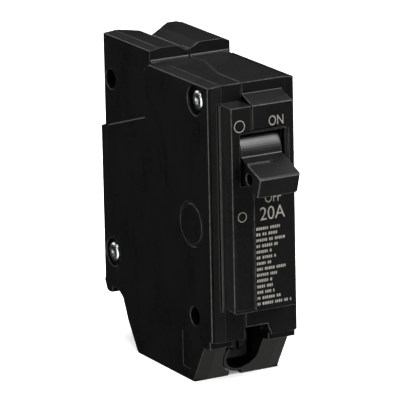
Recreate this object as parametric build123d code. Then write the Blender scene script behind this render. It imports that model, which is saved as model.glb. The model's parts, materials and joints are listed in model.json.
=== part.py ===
from build123d import *
import math
import os

# One-pole, one-inch, plug-in circuit breaker, handle at OFF, contacts open.
#
# Drafting frame used by every function below, in millimetres:
#   X  from the left side face to the right side face
#   Y  from the front plane of the case (0) to the rear; the label panel stands out to -Y
#   Z  up, from the flat bottom of the case
# PLACE moves each finished piece to the part's own frame, whose origin is the middle of
# the bottom of the whole breaker's box.

# ---------------------------------------------------------------- driving dimensions
WIDTH = 25.2            # one-inch pitch less a little clearance
TOP_Z = 80.65           # flat top of the case in front of the step
REAR_Y = 60.6           # lower rear face
TAB_REAR_Y = 57.7       # rear face of the upper left tab
NUB_TIP_Y = -14.3       # how far the handle stands out at OFF
FRONT_LOW_Z = 12.8      # lower end of the front plane
SLOPE = ((4.6, 10.45), (10.85, 0))      # (y, z) ends of the sloping lower front
STEP_Y = 32.3           # step up from the flat top to the tab and the rib
TAB_TOP_Z = 84.15
RIB_TOP_Z = 84.25

SIDE_PROUD = 0.65       # the main side area stands this far proud of the rear strip and tab
DRAFT_X = (3.6, 22.1)   # outside these lines the case carries the moulding draft
DRAFT_STEP = 0.1        # small step down at each line
EDGE_DROP = 0.45        # how far the draft has fallen at the side faces
WALL = 2.0
SEAM_X = 9.45           # where the two case halves meet at the front
SEAM_REAR_X = 10.0      # and at the rear
SEAM_BACK_X = 12.4      # and just in front of the stab slot
SEAM_JOG_Y = 36.5
SEAM_GAP = 0.2
SIDE_RING = (10.5, 42.5)        # moulded ring mark on the left face

PANEL_Y = -5.3          # front face of the label panel
PANEL_X = (3.4, 21.6)
PANEL_Z = (21.45, 75.65)
PANEL_DRAFT = 0.6
PANEL_MID_X = (PANEL_X[0] + PANEL_X[1]) / 2
RECESS_TOP_Z = 45.1     # the left half of the panel is sunk a little below this height
RECESS_DEPTH = 0.25

WINDOW_X = (5.9, 18.9)
WINDOW_Z = (55.05, 68.55)
FRAME_X = 19.8          # the left half reaches round the window as a frame, out to here
FRAME_Z = (54.2, 69.15)
FRAME_DEPTH = 1.9
FRAME_CORNER_R = 1.2

HANDLE_X = (6.4, 18.4)
HANDLE_PIVOT = (4.2, 61.8)
BARREL_R = 9.0
HANDLE_TRAVEL = 36.0    # degrees from OFF to ON
FORK_LENGTH = 9.05
FORK_ANGLE = 18.0       # the fork points this far above the horizontal at OFF
FORK_X = ((7.4, 9.2), (15.6, 17.4))
HANDLE_PIN_R = 1.5
RUNNING = 0.06          # radial clearance of every running fit

MID_X = 12.4            # centre plane of the mechanism
ARM_SWING = 24.0        # how far the arm turns in the case from OFF to ON
ARM_LEG_X = ((9.5, 10.7), (14.1, 15.3))
ARM_PIN_R = 1.2

CRADLE_X = (18.7, 20.3)
CRADLE_PIVOT = (28.0, 68.0)
CRADLE_PIN_R = 1.3
SPRING_ANCHOR = (10.8, 71.2)
CRADLE_TIP = (20.4, 35.9)

ARMATURE_PIVOT = (25.0, 32.8)
ARMATURE_PIN_R = 0.9

RIVETS = ((7.5, 75.75), (55.2, 24.25))
RIVET_R = 1.6
RIVET_HEAD_R = 2.8
RIVET_RECESS_R = 3.85
RIVET_RECESS = 1.7
RIVET_RELIEF_R = 5.0    # the proud side area stops this far from the lower rivet
FRONT_CHAMFER = (1.05, 0.85)    # on the upright front edges of the case, along X and Y

CHANNEL_X = 12.45       # wire channel and terminal screw
CHANNEL_Z = 6.75
CHANNEL_R = 4.75
CHANNEL_WALL_R = 5.6    # outside of the thin wall round the channel
CHANNEL_ARM_Z = 9.9     # top of the wall's left arm
CHANNEL_ARM_Y = 13.0    # and how far back it runs
FOOT_X = 10.2           # the left half reaches this far under the channel
SCREW_Z = 10.2
SCREW_R = 2.1
SCREW_PITCH = 0.8

LINE_STRAP_Y = 31.4     # front face of the upright that carries the fixed contact
SLOT_X = (10.0, 12.2)   # slot for the bus stab
JAW_X = 11.1

MID_Y = (REAR_Y + NUB_TIP_Y) / 2
PLACE = Location((-WIDTH / 2, -MID_Y, 0))


# ---------------------------------------------------------------- small helpers
def slab(points, x0, x1):
    """Extrude a closed outline of (y, z) points from x0 to x1."""
    face = make_face(Polyline(*points, close=True))
    return extrude(Plane.YZ.offset(x0) * face, amount=x1 - x0)


def plan(points, z0, z1):
    """Extrude a closed outline of (x, y) points from z0 to z1."""
    face = make_face(Polyline(*points, close=True))
    return extrude(Plane.XY.offset(z0) * face, amount=z1 - z0)


def cross_cut(points, y0, y1):
    """Extrude a closed outline of (x, z) points from y0 to y1."""
    face = make_face(Polyline(*points, close=True))
    return extrude(Plane.XZ.offset(-y0) * face, amount=-(y1 - y0))


def block(x, y, z):
    """A box given by its (low, high) limits along each axis."""
    size = (x[1] - x[0], y[1] - y[0], z[1] - z[0])
    centre = ((x[0] + x[1]) / 2, (y[0] + y[1]) / 2, (z[0] + z[1]) / 2)
    return Pos(*centre) * Box(*size)


def rod_x(at, radius, x0, x1):
    """A round bar along X at at = (y, z)."""
    return Pos((x0 + x1) / 2, *at) * Rot(0, 90, 0) * Cylinder(radius, x1 - x0)


def rod_y(x, z, radius, y0, y1):
    """A round bar along Y."""
    return Pos(x, (y0 + y1) / 2, z) * Rot(90, 0, 0) * Cylinder(radius, y1 - y0)


def polar(centre, radius, degrees):
    """A point (y, z) at an angle measured from +Y towards +Z."""
    turn = math.radians(degrees)
    return (centre[0] + radius * math.cos(turn), centre[1] + radius * math.sin(turn))


def turn_x(shape, centre, degrees):
    """Turn a shape about an X axis through centre = (y, z)."""
    there = Pos(0, *centre)
    back = Pos(0, -centre[0], -centre[1])
    return there * Rot(degrees, 0, 0) * back * shape


def link(a, b, width_a, width_b, x0, x1):
    """A lever between two points, round at both ends."""
    angle = math.degrees(math.atan2(b[1] - a[1], b[0] - a[0])) + 90
    corners = (
        polar(a, width_a, angle),
        polar(b, width_b, angle),
        polar(b, -width_b, angle),
        polar(a, -width_a, angle),
    )
    return slab(corners, x0, x1) + rod_x(a, width_a, x0, x1) + rod_x(b, width_b, x0, x1)


def ribbon(path, thickness):
    """Outline of a path given a thickness, with mitred bends."""
    left = []
    right = []
    last = len(path) - 1
    for i, point in enumerate(path):
        before = path[max(i - 1, 0)]
        after = path[min(i + 1, last)]
        first = math.atan2(point[1] - before[1], point[0] - before[0])
        second = math.atan2(after[1] - point[1], after[0] - point[0])
        if i == 0:
            first = second
        if i == last:
            second = first
        middle = (first + second) / 2 + math.pi / 2
        reach = thickness / 2 / math.cos((second - first) / 2)
        step = (reach * math.cos(middle), reach * math.sin(middle))
        left.append((point[0] + step[0], point[1] + step[1]))
        right.append((point[0] - step[0], point[1] - step[1]))
    return left + right[::-1]


def coil(radius, wire_r, length, turns):
    """A closed-ended helical spring along +Z from the origin."""
    path = Helix(pitch=length / turns, height=length, radius=radius)
    section = Plane(path @ 0, z_dir=path % 0) * Circle(wire_r)
    return sweep(section, path=path, is_frenet=True)


# ---------------------------------------------------------------- the case
def side_outline():
    """The case seen from the side, without tab and rib: front, top, rear, foot, bottom."""
    return [
        (0, FRONT_LOW_Z),
        (0, TOP_Z),
        (STEP_Y + 1.5, TOP_Z),
        (TAB_REAR_Y, TOP_Z),
        (TAB_REAR_Y, 59.0),
        (REAR_Y, 58.0),
        (REAR_Y, 15.4),
        (59.4, 12.9),
        (57.8, 12.6),
        (56.2, 12.9),
        (56.0, 14.5),
        (51.4, 14.6),
        (49.3, 13.2),
        (46.5, 7.4),
        (41.9, 0.5),
        (41.3, 0),
        SLOPE[1],
        SLOPE[0],
        (1.9, 10.75),
        (1.9, FRONT_LOW_Z),
    ]


def proud_outline():
    """The part of the side face that stands proud of the tab and the rear strip."""
    return [
        (0, FRONT_LOW_Z),
        (0, TOP_Z),
        (31.2, TOP_Z),
        (34.7, 78.1),
        (34.7, 65.65),
        (55.2, 59.3),
        (56.5, 57.0),
        (56.5, 24.0),
        (52.4, 18.8),
        (51.4, 14.6),
        (49.3, 13.2),
        (46.5, 7.4),
        (41.9, 0.5),
        (41.3, 0),
        SLOPE[1],
        SLOPE[0],
        (1.9, 10.75),
        (1.9, FRONT_LOW_Z),
    ]


def beside_seam(far_x, gap):
    """Everything between x = far_x and the seam, which weaves across the top of the case.

    The seam itself is moved by gap along X, so that the two halves stand a little apart.
    """
    front = PANEL_Y - 1
    rear = REAR_Y + 1
    weave = [
        (SEAM_X + gap, 10.0),
        (10.1 + gap, 14.5),
        (11.9 + gap, 21.5),
        (13.1 + gap, 27.0),
        (SEAM_BACK_X + gap, 32.0),
    ]
    curve = Spline(*weave, tangents=[(0, 1), (0, 1)])
    ahead = Polyline((far_x, rear), (far_x, front), (SEAM_X + gap, front), weave[0])
    behind = Polyline(
        weave[-1],
        (SEAM_BACK_X + gap, SEAM_JOG_Y),
        (SEAM_REAR_X + gap, SEAM_JOG_Y),
        (SEAM_REAR_X + gap, rear),
        (far_x, rear),
    )
    face = make_face(Curve() + [ahead, curve, behind])
    return extrude(Plane.XY.offset(-1) * face, amount=TOP_Z + 10)


def window_frame(grow):
    """The block round the window that belongs to the left half, grown by a clearance."""
    x = (SEAM_X - 1, FRAME_X + grow)
    y = (PANEL_Y - 1, PANEL_Y + FRAME_DEPTH + grow)
    body = block(x, y, (FRAME_Z[0] - grow, FRAME_Z[1] + grow))
    corners = body.edges().filter_by(Axis.Y).group_by(Axis.X)[-1]
    return fillet(corners, FRAME_CORNER_R + grow)


def draft_sections(drop):
    """What the draft takes off a flat face, as outlines of (x, height above the face)."""
    sections = []
    for line, side in zip(DRAFT_X, (0, WIDTH)):
        beyond = side + (side - line) / abs(side - line)
        fall = DRAFT_STEP + (drop - DRAFT_STEP) * abs(beyond - line) / abs(side - line)
        sections.append([(line, 5), (line, -DRAFT_STEP), (beyond, -fall), (beyond, 5)])
    return sections


def draft_cuts():
    """The draft on the top, front, rear and sloping lower front of the case."""
    slope_top, slope_foot = SLOPE
    run = (0, slope_foot[0] - slope_top[0], slope_foot[1] - slope_top[1])
    slope = Plane(origin=(0, *slope_top), x_dir=(1, 0, 0), z_dir=run)
    cuts = []
    for section in draft_sections(EDGE_DROP):
        cuts.append(cross_cut([(x, TOP_Z + h) for x, h in section], -1, STEP_Y))
        cuts.append(plan([(x, -h) for x, h in section], FRONT_LOW_Z - 1, TOP_Z + 1))
        cuts.append(plan([(x, REAR_Y + h) for x, h in section], 16, 58.5))
        lower = extrude(slope * make_face(Polyline(*section, close=True)), amount=math.hypot(*run))
        cuts.append(lower)
    return cuts


def case_block():
    """Both halves of the case as one solid, before hollowing."""
    body = slab(side_outline(), SIDE_PROUD, WIDTH - SIDE_PROUD)
    face = make_face(Polyline(*proud_outline(), close=True))
    face -= Pos(*RIVETS[1]) * Circle(RIVET_RELIEF_R)
    body += extrude(Plane.YZ * face, amount=SIDE_PROUD + 0.2)
    body += extrude(Plane.YZ.offset(WIDTH) * face, amount=-(SIDE_PROUD + 0.2))
    for cut in draft_cuts():
        body -= cut
    cx, cy = FRONT_CHAMFER
    edge = [(-1, -1), (cx, -1), (cx, DRAFT_STEP), (0, cy), (-1, 2 * cy)]
    mirrored = [(WIDTH - x, y) for x, y in edge]
    body -= plan(edge, FRONT_LOW_Z - 1, TOP_Z + 1) + plan(mirrored, FRONT_LOW_Z - 1, TOP_Z + 1)
    ramp = [(STEP_Y - 0.7, TOP_Z - 0.2), (STEP_Y + 0.2, TOP_Z + 0.7), (STEP_Y + 0.2, TOP_Z - 0.2)]
    return body + slab(ramp, 0.9, WIDTH - 1.2)


def tab():
    """The raised tab at the upper left rear."""
    outline = [
        (STEP_Y, TOP_Z - 2),
        (STEP_Y, TAB_TOP_Z),
        (TAB_REAR_Y - 0.6, TAB_TOP_Z),
        (TAB_REAR_Y, TAB_TOP_Z - 0.6),
        (TAB_REAR_Y, TOP_Z - 2),
    ]
    body = slab(outline, SIDE_PROUD, SEAM_BACK_X - SEAM_GAP / 2)
    above = TAB_TOP_Z + 1
    corner = [
        (8.95, above),
        (8.95, TAB_TOP_Z),
        (10.8, TAB_TOP_Z - 1.2),
        (SEAM_BACK_X + 1, TAB_TOP_Z - 1.75),
        (SEAM_BACK_X + 1, above),
    ]
    body -= cross_cut(corner, STEP_Y - 1, REAR_Y + 1)
    outer = draft_sections(EDGE_DROP + 0.1)[0]
    return body - cross_cut([(x, TAB_TOP_Z + h) for x, h in outer], STEP_Y - 1, REAR_Y + 1)


def rib():
    """The raised rib at the upper right rear, with a large chamfer beside the slot."""
    section = [
        (SLOT_X[1], TOP_Z - 2),
        (SLOT_X[1], TOP_Z + 1.95),
        (15.2, RIB_TOP_Z),
        (DRAFT_X[1], RIB_TOP_Z),
        (DRAFT_X[1], RIB_TOP_Z - DRAFT_STEP),
        (WIDTH - SIDE_PROUD, TOP_Z + 2.8),
        (WIDTH - SIDE_PROUD, TOP_Z - 2),
    ]
    body = cross_cut(section, STEP_Y, TAB_REAR_Y)
    tail = [(TAB_REAR_Y - 1, RIB_TOP_Z + 1), (TAB_REAR_Y + 1, RIB_TOP_Z + 1)]
    tail += [(TAB_REAR_Y + 1, RIB_TOP_Z - 1.6), (TAB_REAR_Y - 1, RIB_TOP_Z)]
    return body - slab(tail, 0, WIDTH)


def label_panel():
    """The panel that stands out of the front and frames the handle window."""
    x0, x1 = PANEL_X
    z0, z1 = PANEL_Z
    side = [(0.5, z0 - 0.35), (0.5, z1 + 0.4), (PANEL_Y, z1), (PANEL_Y, z0)]
    body = slab(side, x0 - PANEL_DRAFT, x1 + PANEL_DRAFT)
    ahead = PANEL_Y - 1
    left = [
        (x0 - PANEL_DRAFT - 1, 1),
        (x0 - PANEL_DRAFT, 0),
        (x0, PANEL_Y),
        (x0, ahead),
        (x0 - 3, ahead),
    ]
    right = [(2 * PANEL_MID_X - x, y) for x, y in left]
    body -= plan(left, z0 - 5, z1 + 5)
    body -= plan(right, z0 - 5, z1 + 5)
    foot = [
        (x0 - 2, z0 - 2),
        (x0 + 0.6, z0 - 2),
        (x0 + 0.6, z0 - 0.4),
        (x0 - 0.7, z0 + 1.1),
        (x0 - 2, z0 + 1.1),
    ]
    body -= cross_cut(foot, ahead, 0)
    flange_z = (z0 - 0.35, z1)
    body += block((x0 - 1, x0 + 0.5), (-0.75, 0.5), flange_z)
    body += block((x1 - 0.5, x1 + 1), (-0.75, 0.5), flange_z)
    recess_x = (x0 + 0.8, SEAM_X - 0.4)
    return body - block(recess_x, (ahead, PANEL_Y + RECESS_DEPTH), (z0 + 0.9, RECESS_TOP_Z))


def panel_top_right():
    """The right half of the panel has a higher, sloping top."""
    z1 = PANEL_Z[1]
    side = [(0.5, z1 - 1), (0.5, z1 + 2.1), (0, z1 + 2.0), (PANEL_Y, z1), (PANEL_Y, z1 - 1)]
    return slab(side, SEAM_X, PANEL_X[1] - 0.4)


def chamber():
    """The hollow that holds the mechanism."""
    outline = [
        (2.2, 20.4),
        (2.2, 71.5),
        (3.6, 78.4),
        (36.2, 78.4),
        (36.2, 61.6),
        (40.5, 58.4),
        (55.4, 56.0),
        (58.2, 54.0),
        (58.2, 17.6),
        (46.9, 17.6),
        (39.6, 2.2),
        (15.0, 2.2),
        (15.0, 17.6),
        (13.0, 20.4),
    ]
    return slab(outline, WALL, WIDTH - WALL)


def terminal_pocket():
    """Room for the terminal plate and its clamp, open to the wire channel."""
    return block((6.6, 18.3), (10.4, 19.0), (2.6, 16.4))


def wire_channel():
    """The U-shaped channel that the load wire enters by, with the screwdriver notch above."""
    bore = rod_y(CHANNEL_X, CHANNEL_Z, CHANNEL_R, -1, 15.2)
    side = (CHANNEL_X - CHANNEL_R, CHANNEL_X + CHANNEL_R)
    upright = block(side, (1.0, 15.2), (CHANNEL_Z, FRONT_LOW_Z + 0.5))
    notch_x = (SEAM_X, 16.1)
    notch = block(notch_x, (-1, 15.2), (FRONT_LOW_Z - 0.5, 15.3))
    corner = cross_cut([(16.0, 15.3), (16.9, 13.5), (16.9, 12.0), (16.0, 12.0)], -1, 4)
    bevel = slab([(-1, 14.9), (-1, 16.4), (1.6, 15.2)], *notch_x)
    return bore + upright + notch + corner + bevel


def handle_pocket():
    """Window in the panel and the round pocket that the handle's barrel turns in."""
    window = block(WINDOW_X, (PANEL_Y - 1, 0), WINDOW_Z)
    pocket_x = (HANDLE_X[0] - 0.35, HANDLE_X[1] + 0.35)
    pocket = rod_x(HANDLE_PIVOT, BARREL_R + 0.35, *pocket_x)
    behind = block(pocket_x, (2.0, 12.0), (50.5, 73.0))
    return window + pocket + behind


def bosses():
    """Posts that fill the hollow round the rivets, pins and side holes."""
    full = (WALL - 0.5, WIDTH - WALL + 0.5)
    posts = rod_x(RIVETS[0], 3.2, *full)
    posts += rod_x(RIVETS[1], 4.3, *full)
    posts += rod_x(HANDLE_PIVOT, 3.6, WALL - 0.5, HANDLE_X[0] - 0.15)
    posts += rod_x(HANDLE_PIVOT, 3.6, HANDLE_X[1] + 0.15, WIDTH - WALL + 0.5)
    posts += rod_x(CRADLE_PIVOT, 2.6, CRADLE_X[1] + 0.1, WIDTH - WALL + 0.5)
    posts += rod_x(ARMATURE_PIVOT, 2.1, WALL - 0.5, 8.2)
    posts += rod_x(ARMATURE_PIVOT, 2.1, CRADLE_X[1] + 0.1, WIDTH - WALL + 0.5)
    return posts


def shelves():
    """Ribs on the inside of the right half that hold the fixed metal parts."""
    right = WIDTH - WALL + 0.5
    rails = block((15.5, right), (30.0, 34.0), (47.0, 49.0))
    rails += block((17.3, right), (31.0, 34.5), (15.0, 31.0))
    rails += block((19.5, right), (35.0, 51.0), (40.6, 42.4))
    rails += block((19.5, right), (35.0, 51.0), (18.0, 19.8))
    rails += block((18.0, right), (19.6, 21.0), (19.5, 24.5))
    return rails


def pin_holes():
    """Seats for the fixed pins and the rivets."""
    holes = rod_x(HANDLE_PIVOT, HANDLE_PIN_R, 0.9, WIDTH - 0.9)
    holes += rod_x(CRADLE_PIVOT, CRADLE_PIN_R, CRADLE_X[1], WIDTH - 0.9)
    holes += rod_x(ARMATURE_PIVOT, ARMATURE_PIN_R, 3.5, WIDTH - 3.0)
    for rivet in RIVETS:
        holes += rod_x(rivet, RIVET_R, -1, WIDTH + 1)
        holes += rod_x(rivet, RIVET_RECESS_R, -1, RIVET_RECESS)
        holes += rod_x(rivet, RIVET_RECESS_R, WIDTH - RIVET_RECESS, WIDTH + 1)
    return holes


def side_details():
    """Moulded ring, blind holes and jaw pocket, cut from the outside."""
    cuts = rod_x(SIDE_RING, 6.0, -1, 0.4) - rod_x(SIDE_RING, 5.35, -1, 0.4)
    cuts += rod_x((9.7, 18.0), 2.5, -1, 4.2)
    cuts += rod_x((54.2, 71.8), 2.7, -1, 4.0)
    cuts += block((-1, 0.15), (12.3, 16.6), (3.0, 12.6))
    return cuts


def jaw_pocket():
    """Hollow for the line jaw, open to the rear and through the stab slot to the top."""
    pocket = block((JAW_X - 4.0, JAW_X + 4.0), (37.2, REAR_Y + 1), (61.2, 77.4))
    slot = block(SLOT_X, (36.4, REAR_Y + 1), (61.2, 90))
    neck = block((8.2, 15.6), (34.0, 38.8), (58.5, 77.4))
    return pocket + slot + neck + lead_in()


def lead_in():
    """The mouth of the stab slot, which opens at 45 degrees towards the rear."""
    inner = 52.6
    rear = TAB_REAR_Y + 1
    flare = rear - inner
    left = [(9.4, inner), (SLOT_X[0] + 0.1, inner), (SLOT_X[0] + 0.1, rear), (9.4 - flare, rear)]
    right = [(SLOT_X[1] - 0.1, inner), (15.0, inner), (15.0 + flare, rear), (SLOT_X[1] - 0.1, rear)]
    return plan(left, 61.2, 90) + plan(right, 61.2, 90)


def hollow_case():
    body = case_block() + label_panel() + panel_top_right()
    body -= chamber() + terminal_pocket()
    body += bosses()
    body -= handle_pocket()
    body -= wire_channel()
    body -= side_details()
    return body


def left_cover(case):
    body = case + tab()
    reach = beside_seam(-1, -SEAM_GAP / 2) + window_frame(0)
    reach += block((SEAM_X - 1, FOOT_X), (-1, 17), (-1, 4))
    body = (body & reach) - pin_holes() - jaw_pocket()
    outside = CHANNEL_WALL_R + SEAM_GAP
    side = (CHANNEL_X - outside, 11)
    lip = block(side, (-1, 18), (CHANNEL_Z, FRONT_LOW_Z - 0.6))
    return body - lip - rod_y(CHANNEL_X, CHANNEL_Z, outside, -2, 18)


def right_base(case):
    body = case + shelves() + rib()
    body = (body & beside_seam(WIDTH + 1, SEAM_GAP / 2)) - window_frame(SEAM_GAP)
    body = body - pin_holes() - jaw_pocket()
    around = rod_y(CHANNEL_X, CHANNEL_Z, CHANNEL_WALL_R, -2, 18)
    body -= block((8, CHANNEL_X + 1.4), (-1, 17.1), (-1, CHANNEL_Z - 1)) - around
    return body + (channel_arm() & case)


def channel_arm():
    """The left arm of the thin wall round the wire channel."""
    ring = rod_y(CHANNEL_X, CHANNEL_Z, CHANNEL_WALL_R, 0, CHANNEL_ARM_Y)
    ring -= rod_y(CHANNEL_X, CHANNEL_Z, CHANNEL_R, -1, CHANNEL_ARM_Y + 1)
    return ring & block((0, CHANNEL_X), (0, CHANNEL_ARM_Y), (0, CHANNEL_ARM_Z))


# ---------------------------------------------------------------- handle
def handle():
    """Rocker handle at OFF: barrel, nub with its tie-bar hole, and the fork that drives the arm."""
    x0, x1 = HANDLE_X
    barrel = rod_x(HANDLE_PIVOT, BARREL_R, x0, x1)
    behind = turn_x(block((0, WIDTH), (4.2, 20), (45, 80)), HANDLE_PIVOT, FORK_ANGLE)
    barrel -= behind
    body = barrel + rod_x(HANDLE_PIVOT, 3.4, x0, x1)
    nub = [
        (-3.0, 62.9),
        (-4.75, 62.35),
        (-13.7, 58.95),
        (-14.25, 58.5),
        (-14.3, 58.1),
        (-12.85, 53.55),
        (-9.7, 54.3),
        (-6.85, 55.6),
        (-2.0, 56.6),
    ]
    front = slab(nub, x0, x1)
    corners = front.edges().filter_by(GeomType.LINE)
    corners = corners.filter_by(lambda e: e.center().Y < -13.2 and e.length < 6 and e.length > 2)
    body += fillet(corners.filter_by(lambda e: e.center().X > MID_X), 1.1)
    ridge = block((x0, 13.6), (-8.0, -7.1), (60.4, 61.5))
    ridge += Pos(13.6, -7.55, 60.95) * Cylinder(0.75, 1.1)
    body += ridge
    inner = polar(HANDLE_PIVOT, FORK_LENGTH, FORK_ANGLE)
    for span in FORK_X:
        body += link(HANDLE_PIVOT, inner, 2.6, 2.1, *span)
        body -= rod_x(inner, ARM_PIN_R + RUNNING, *span)
    body -= rod_x(HANDLE_PIVOT, HANDLE_PIN_R + RUNNING, x0 - 1, x1 + 1)
    body -= rod_x((-8.6, 57.5), 1.5, x0 - 1, x1 + 1)
    return body


# ---------------------------------------------------------------- contact arm
ARM_PIVOT_OFF = polar(HANDLE_PIVOT, FORK_LENGTH, FORK_ANGLE)
ARM_PIVOT_ON = polar(HANDLE_PIVOT, FORK_LENGTH, FORK_ANGLE - HANDLE_TRAVEL)


def to_off(shape):
    """Carry a shape drawn with the contacts closed to the open position."""
    lift = Pos(0, ARM_PIVOT_OFF[0] - ARM_PIVOT_ON[0], ARM_PIVOT_OFF[1] - ARM_PIVOT_ON[1])
    return lift * turn_x(shape, ARM_PIVOT_ON, -ARM_SWING)


ARM_WEB_Y = LINE_STRAP_Y - 2.8      # rear face of the arm's web with the contacts closed
ARM_WEB_Z = (34.6, 46.4)
CONTACT = (1.35, 4.6, 5.2)          # thickness, width, height of each contact


def contact_arm():
    """U-shaped copper arm: two legs, a web, a bar for the spring and an ear for the braid."""
    py, pz = ARM_PIVOT_ON
    leg = [
        (py + 2.0, pz + 1.2),
        (ARM_WEB_Y, ARM_WEB_Z[1]),
        (ARM_WEB_Y, ARM_WEB_Z[0]),
        (ARM_WEB_Y - 2.6, ARM_WEB_Z[0]),
        (py - 1.6, pz - 1.6),
    ]
    body = block((ARM_LEG_X[0][0], ARM_LEG_X[1][1]), (ARM_WEB_Y - 1.4, ARM_WEB_Y), ARM_WEB_Z)
    for span in ARM_LEG_X:
        body += slab(leg, *span) + rod_x(ARM_PIVOT_ON, 2.2, *span)
    body += rod_x((py + 10.6, pz - 13.6), 0.8, ARM_LEG_X[0][0], ARM_LEG_X[1][1])
    body -= rod_x(ARM_PIVOT_ON, ARM_PIN_R, 0, WIDTH)
    ear = block((6.0, ARM_LEG_X[0][0] + 0.2), (17.0, 18.2), (44.0, 47.5))
    return to_off(body) + ear


def arm_pins():
    """A stub pin through each leg of the arm, clear of the spring between the legs."""
    left = rod_x(ARM_PIVOT_OFF, ARM_PIN_R, FORK_X[0][0] - 0.2, ARM_LEG_X[0][1] + 0.1)
    right = rod_x(ARM_PIVOT_OFF, ARM_PIN_R, ARM_LEG_X[1][0] - 0.1, FORK_X[1][1] + 0.2)
    return Compound(children=[left, right])


def contact_pad(y0):
    thick, wide, high = CONTACT
    across = (MID_X - wide / 2, MID_X + wide / 2)
    middle = 40.0
    pad = block(across, (y0, y0 + thick), (middle - high / 2, middle + high / 2))
    return chamfer(pad.edges().filter_by(Axis.Y), 0.7)


def moving_contact():
    return to_off(contact_pad(ARM_WEB_Y))


def stationary_contact():
    return contact_pad(LINE_STRAP_Y - CONTACT[0])


# ---------------------------------------------------------------- line side
def line_strap():
    """Copper strap from the fixed contact up to the jaw, with an arc runner at its foot."""
    middle = LINE_STRAP_Y + 0.6
    path = [(35.5, 33.2), (middle, 33.2), (middle, 55.5), (38.0, 61.4), (38.0, 76.0)]
    return slab(ribbon(path, 1.2), 8.6, 15.4)


def jaw_leaf(side, outward, thick, y0, y1):
    """One leaf of the jaw seen from above; side is -1 for left and 1 for right."""
    path = [
        (JAW_X + side * (2.2 + outward), y0),
        (JAW_X + side * (2.2 + outward), 45.0),
        (JAW_X + side * (1.05 + outward), 50.5),
        (JAW_X + side * (1.05 + outward), 52.5),
        (JAW_X + side * (2.0 + outward), y1),
    ]
    return ribbon(path, thick)


def line_jaw():
    """Copper spring jaw that grips the bus stab."""
    body = block((JAW_X - 2.7, JAW_X + 2.7), (38.6, 39.6), (63.0, 76.0))
    for side in (-1, 1):
        body += plan(jaw_leaf(side, 0, 1.0, 38.6, 55.4), 63.0, 76.0)
    return body


def jaw_springs():
    """A steel leaf that backs up each side of the jaw."""
    leaves = [plan(jaw_leaf(side, 0.96, 0.7, 40.0, 55.0), 65.0, 74.0) for side in (-1, 1)]
    return Compound(children=leaves)


# ---------------------------------------------------------------- trip unit
def cradle():
    """Trip lever: spring anchor at the front, pivot at the rear, latch tip below."""
    x0, x1 = CRADLE_X
    body = link(SPRING_ANCHOR, CRADLE_PIVOT, 1.9, 3.0, x0, x1)
    tip = (CRADLE_TIP[0], CRADLE_TIP[1] + 1.2)
    body += link(tip, CRADLE_PIVOT, 1.2, 3.0, x0, x1)
    body += rod_x(SPRING_ANCHOR, 0.9, MID_X - 1.6, x0 + 0.2)
    return body - rod_x(CRADLE_PIVOT, CRADLE_PIN_R + RUNNING, x0, x1)


def cradle_pin():
    body = rod_x(CRADLE_PIVOT, CRADLE_PIN_R, CRADLE_X[0] - 0.2, WIDTH - 0.9)
    return body + rod_x(CRADLE_PIVOT, 2.3, CRADLE_X[0] - 1.1, CRADLE_X[0] - 0.1)


def toggle_spring():
    """Extension spring from the arm's bar to the cradle's anchor, with an eye at each end."""
    low_on = Pos(0, ARM_PIVOT_ON[0] + 10.6, ARM_PIVOT_ON[1] - 13.6) * Sphere(0.1)
    low = to_off(low_on).center()
    top = SPRING_ANCHOR
    run = math.hypot(top[0] - low.Y, top[1] - low.Z)
    lean = math.degrees(math.atan2(top[0] - low.Y, top[1] - low.Z))
    eye = 1.75
    body = Pos(0, 0, eye + 0.6) * coil(1.3, 0.35, run - 2 * eye - 1.2, 11)
    for end, inward in ((0.0, 1), (run, -1)):
        body += Pos(0, 0, end) * Rot(0, 90, 0) * Torus(1.4, 0.35)
        body += Pos(0, 0, end + inward * 1.9) * Cylinder(0.3, 1.1)
        body += Pos(0.6, 0, end + inward * 2.35) * Rot(0, 90, 0) * Cylinder(0.3, 1.5)
    return Pos(MID_X, low.Y, low.Z) * Rot(-lean, 0, 0) * body


def armature():
    """Steel plate that the yoke attracts, with a knuckle on the pin and a latch ledge."""
    py, pz = ARMATURE_PIVOT
    body = block((8.6, 16.2), (py - 0.6, py + 0.6), (14.6, pz - 0.6))
    body += rod_x(ARMATURE_PIVOT, 1.6, 8.6, CRADLE_X[1])
    body += block((16.0, CRADLE_X[1]), (py - 0.6, py + 0.6), (19.6, 24.4))
    ledge = [(py - 0.5, pz - 1.4), (20.6, 34.6), (20.6, 35.55), (22.0, 35.55), (py, pz + 1.5)]
    body += slab(ledge, *CRADLE_X)
    return body - rod_x(ARMATURE_PIVOT, ARMATURE_PIN_R + RUNNING, 0, WIDTH)


def armature_pin():
    return rod_x(ARMATURE_PIVOT, ARMATURE_PIN_R, 3.5, WIDTH - 3.0)


def armature_spring():
    """Small compression spring that holds the armature off the yoke."""
    return Pos(19.2, 21.3, 22.0) * Rot(-90, 0, 0) * coil(1.0, 0.2, 2.7, 4)


def magnet_yoke():
    """U-shaped steel yoke round the bimetal."""
    body = block((7.6, 17.2), (31.3, 32.5), (16.0, 30.0))
    body += block((7.6, 8.8), (27.6, 31.4), (16.0, 30.0))
    return body + block((16.0, 17.2), (27.6, 31.4), (16.0, 30.0))


BIMETAL_FOOT = (28.4, 4.4)


def bimetal():
    """Thermal strip, welded at its foot, with an ear for the braid at its top."""
    y0, z0 = BIMETAL_FOOT
    body = block((9.6, 15.2), (y0, y0 + 0.8), (z0, 31.0))
    return body + block((6.0, 9.8), (y0, y0 + 0.8), (29.6 + 0.9, 31.9))


def calibration_screw():
    """Set screw that bends the foot of the load strap to set the trip point."""
    body = rod_y(MID_X, 7.0, 1.5, 29.8, 36.0) + rod_y(MID_X, 7.0, 2.4, 36.0, 37.6)
    return body - block((MID_X - 0.3, MID_X + 0.3), (37.0, 38.0), (4.0, 10.0))


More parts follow.
